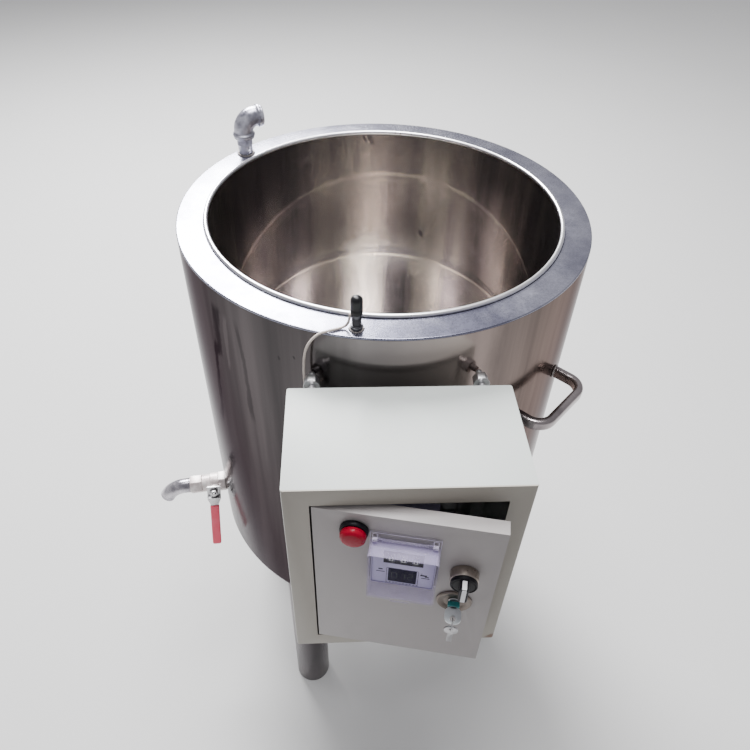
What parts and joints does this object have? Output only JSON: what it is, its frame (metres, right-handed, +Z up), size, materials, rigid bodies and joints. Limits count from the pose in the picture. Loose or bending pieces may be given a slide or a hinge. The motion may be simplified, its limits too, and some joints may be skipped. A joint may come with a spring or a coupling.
{
  "type": "electric wax melter",
  "caption": "Jacketed round steel melting pot on tube legs, with a drain ball valve, bar handles, a jacket vent, a temperature sensor and a front control box with a hinged door",
  "frame": {"origin": "the middle of the pot's floor, on its inside face", "axes": "+Z is up, the control box and its door face -Y, and +X is to the right of a person who faces the door"},
  "size_m": [0.6774, 0.7841, 1.0167],
  "materials": {
    "polished_steel": "mirror-polished stainless sheet",
    "satin_steel": "satin stainless steel",
    "dark_steel": "polished stainless tube",
    "cast_steel": "cast stainless pipe fitting",
    "zinc_steel": "zinc-plated steel",
    "pale_coat": "pale grey-green powder coat",
    "red_vinyl": "dipped red vinyl",
    "red_lens": "clear red lens",
    "black_plastic": "moulded black plastic",
    "lilac_plastic": "pale lilac front panel",
    "screen_plastic": "dark display window",
    "clear_plastic": "clear moulded plastic",
    "grey_plastic": "grey plastic",
    "bronze_metal": "dull nickel-bronze",
    "teal_plastic": "teal plastic",
    "pale_sheath": "pale lead sheath",
    "brass": "machined brass",
    "rubber": "black rubber"
  },
  "bodies": {
    "tank": {"inner_pot": "polished_steel", "pot_floor": "polished_steel", "outer_shell": "polished_steel", "rim_ring": "satin_steel", "base_plate": "dark_steel", "leg_1": "dark_steel", "leg_2": "dark_steel", "leg_3": "dark_steel", "leg_4": "dark_steel", "handle_right": "dark_steel", "handle_left": "dark_steel", "vent_nipple": "cast_steel", "vent_elbow": "cast_steel", "sensor_probe": "zinc_steel", "sensor_socket": "zinc_steel", "sensor_boot": "rubber", "sensor_lead": "pale_sheath", "drain_pipe": "satin_steel", "valve_body": "cast_steel", "valve_end": "cast_steel", "spout": "cast_steel", "heater_element": "brass", "terminal_cap": "black_plastic", "enclosure": "pale_coat", "stud_left": "zinc_steel", "stud_right": "zinc_steel", "stud_nut_left": "zinc_steel", "stud_nut_right": "zinc_steel", "lead_grommet": "rubber", "power_gland": "black_plastic", "heater_gland": "black_plastic", "mounting_plate": "zinc_steel", "contactor": "black_plastic", "terminal_block": "grey_plastic"},
    "valve_lever": {"lever_arm": "zinc_steel", "lever_grip": "red_vinyl", "lever_nut": "zinc_steel", "valve_stem": "zinc_steel", "valve_ball": "polished_steel"},
    "door": {"door_leaf": "pale_coat", "lamp_body": "black_plastic", "lamp_lens": "red_lens", "controller_case": "black_plastic", "controller_face": "lilac_plastic", "display_window": "screen_plastic", "cover_base": "clear_plastic", "selector_bezel": "satin_steel", "selector_block": "black_plastic", "lock_body": "bronze_metal"},
    "cover": {"clear_cover": "clear_plastic"},
    "wheel_1": {"thumbwheel_1": "black_plastic"},
    "wheel_2": {"thumbwheel_2": "black_plastic"},
    "wheel_3": {"thumbwheel_3": "black_plastic"},
    "selector": {"selector_knob": "black_plastic"},
    "lock": {"lock_plug": "zinc_steel", "lock_cam": "zinc_steel", "key": "grey_plastic", "key_collar": "teal_plastic"},
    "ring": {"key_ring": "zinc_steel"},
    "spare": {"spare_key": "zinc_steel"}
  },
  "joints": [
    {"name": "door_hinge", "type": "hinge", "parent": "tank", "child": "door", "pos_m": [-0.0875, -0.4355, 0.311], "axis": [0, 0, -1], "range_deg": [-11.3, 95]},
    {"name": "cover_hinge", "type": "hinge", "parent": "door", "child": "cover", "pos_m": [-0.00216, -0.46469, 0.4138], "axis": [-0.9806, 0.1959, 0], "range_deg": [0, 105]},
    {"name": "selector_turn", "type": "hinge", "parent": "door", "child": "selector", "pos_m": [0.05824, -0.48645, 0.366], "axis": [-0.1959, -0.9806, 0], "range_deg": [0, 90]},
    {"name": "lock_turn", "type": "hinge", "parent": "door", "child": "lock", "pos_m": [0.05626, -0.47034, 0.309], "axis": [-0.1959, -0.9806, 0], "range_deg": [0, 90]},
    {"name": "ring_swing", "type": "hinge", "parent": "lock", "child": "ring", "pos_m": [0.05103, -0.49653, 0.3105], "axis": [-0.1959, -0.9806, 0], "range_deg": [-36, 36]},
    {"name": "spare_key_swing", "type": "hinge", "parent": "ring", "child": "spare", "pos_m": [0.05103, -0.49653, 0.2972], "axis": [-0.1959, -0.9806, 0], "range_deg": [-60, 60]},
    {"name": "thumbwheel_1_spin", "type": "hinge", "parent": "door", "child": "wheel_1", "pos_m": [-0.01315, -0.45586, 0.388], "axis": [0.9806, -0.1959, 0], "continuous": true},
    {"name": "thumbwheel_2_spin", "type": "hinge", "parent": "door", "child": "wheel_2", "pos_m": [-0.00089, -0.45831, 0.388], "axis": [0.9806, -0.1959, 0], "continuous": true},
    {"name": "thumbwheel_3_spin", "type": "hinge", "parent": "door", "child": "wheel_3", "pos_m": [0.01137, -0.46076, 0.388], "axis": [0.9806, -0.1959, 0], "continuous": true},
    {"name": "valve_lever_turn", "type": "hinge", "parent": "tank", "child": "valve_lever", "pos_m": [-0.30104, -0.04231, -0.022], "axis": [-0.1392, 0.9903, 0], "range_deg": [-5, 85]}
  ]
}
